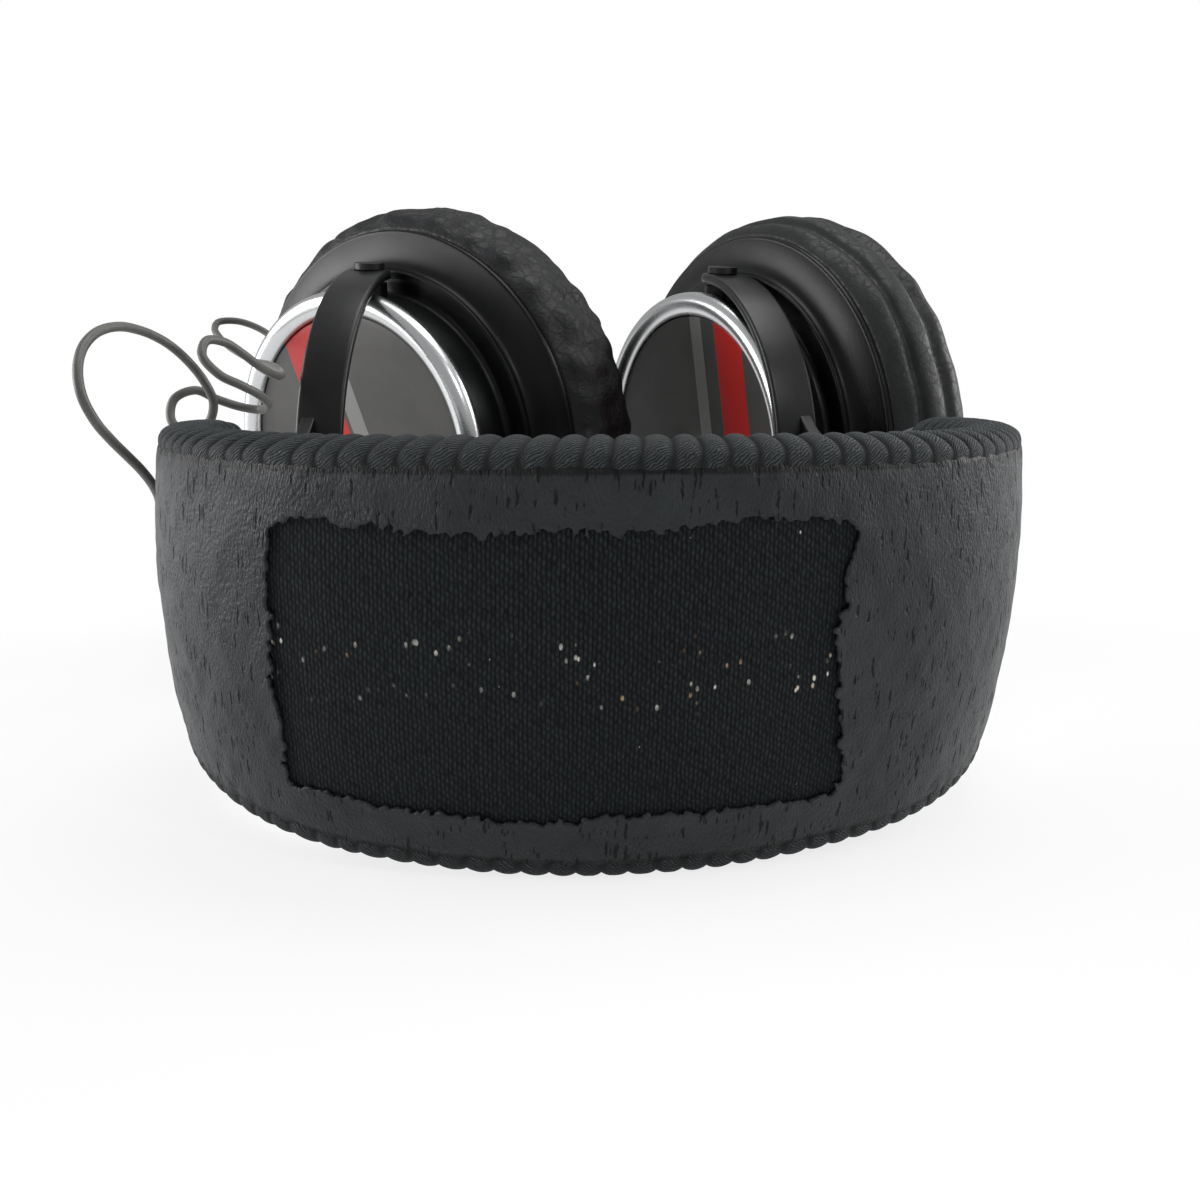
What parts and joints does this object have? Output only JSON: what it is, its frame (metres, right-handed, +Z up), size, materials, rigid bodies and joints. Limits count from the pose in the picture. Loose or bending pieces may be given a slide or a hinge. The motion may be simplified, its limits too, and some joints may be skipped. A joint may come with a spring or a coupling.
{
  "type": "over-ear headphones",
  "caption": "Closed-back over-ear studio headphones lying on one side, with a laced padded headband, sliding hangers and cups that turn in them.",
  "frame": {"origin": "on the table under the middle of the headphones", "axes": "+Z up from the table, +Y from the crown of the headband towards the cups, +X to the right cup"},
  "size_m": [0.1397, 0.1677, 0.0886],
  "materials": {
    "leatherette": "worn matte leatherette with fine grain and cracks",
    "knit": "matte warp knit with pale flecks",
    "foam": "soft foam",
    "lacing_cord": "twisted matte lacing",
    "spring_steel": "tempered spring steel",
    "cap_moulding": "fine textured moulding",
    "bright_steel": "plain steel",
    "slider_steel": "brushed steel strip",
    "hanger_coat": "semi-matt black coat",
    "housing_black": "satin black moulding",
    "cap_grey": "satin dark grey plate with a red and a grey stripe",
    "chrome_ring": "bright polished ring",
    "bush_nylon": "natural nylon",
    "magnet_steel": "zinc plated",
    "diaphragm_film": "thin clear-grey film",
    "driver_cloth": "thin acoustic cloth",
    "acoustic_foam": "thin foam ring",
    "worn_pad_leather": "crackled leatherette",
    "smooth_pad_leather": "smooth folded leatherette",
    "soft_rubber": "soft black rubber",
    "lead_jacket": "satin jacket"
  },
  "bodies": {
    "headband": {"outer_cover": "leatherette", "knit_backing": "knit", "foam_pad": "foam", "spring_band": "spring_steel", "inner_cover": "leatherette", "upper_edge_lacing": "lacing_cord", "lower_edge_lacing": "lacing_cord", "left_end_cap": "cap_moulding", "right_end_cap": "cap_moulding", "left_detent_spring": "spring_steel", "right_detent_spring": "spring_steel", "end_cap_screws": "bright_steel", "left_cap_grommet": "soft_rubber", "right_cap_grommet": "soft_rubber"},
    "left_slider": {"left_slider_bar": "slider_steel", "left_hanger": "hanger_coat", "left_hanger_rivets": "bright_steel", "left_pivot_pins": "bright_steel", "lead_run": "lead_jacket", "lead_loops": "lead_jacket"},
    "left_cup": {"left_housing": "housing_black", "left_cap_plate": "cap_grey", "left_cap_ring": "chrome_ring", "left_pivot_bushes": "bush_nylon", "left_baffle": "housing_black", "left_baffle_screws": "bright_steel", "left_driver_frame": "housing_black", "left_driver_magnet": "magnet_steel", "left_diaphragm": "diaphragm_film", "left_driver_cloth": "driver_cloth", "left_acoustic_ring": "acoustic_foam", "left_ear_pad": "worn_pad_leather", "left_cup_grommet": "soft_rubber", "cord_inlet": "soft_rubber"},
    "right_slider": {"right_slider_bar": "slider_steel", "right_hanger": "hanger_coat", "right_hanger_rivets": "bright_steel", "right_pivot_pins": "bright_steel"},
    "right_cup": {"right_housing": "housing_black", "right_cap_plate": "cap_grey", "right_cap_ring": "chrome_ring", "right_pivot_bushes": "bush_nylon", "right_baffle": "housing_black", "right_baffle_screws": "bright_steel", "right_driver_frame": "housing_black", "right_driver_magnet": "magnet_steel", "right_diaphragm": "diaphragm_film", "right_driver_cloth": "driver_cloth", "right_acoustic_ring": "acoustic_foam", "right_ear_pad": "smooth_pad_leather", "right_cup_grommet": "soft_rubber"}
  },
  "joints": [
    {"name": "left_slide", "type": "slide", "parent": "headband", "child": "left_slider", "axis": [0.2419, 0.9581, 0.1535], "range_m": [0, 0.018], "deforming": ["lead_run", "lead_loops"]},
    {"name": "right_slide", "type": "slide", "parent": "headband", "child": "right_slider", "axis": [-0.2419, 0.9581, 0.1535], "range_m": [0, 0.018]},
    {"name": "left_pivot", "type": "hinge", "parent": "left_slider", "child": "left_cup", "pos_m": [-0.03995, 0.03494, 0.04263], "axis": [0, -0.1582, 0.9874], "range_deg": [-64, 116], "deforming": ["lead_run", "lead_loops"]},
    {"name": "right_pivot", "type": "hinge", "parent": "right_slider", "child": "right_cup", "pos_m": [0.02635, 0.03494, 0.04263], "axis": [0, 0.1582, -0.9874], "range_deg": [-16, 11]}
  ]
}
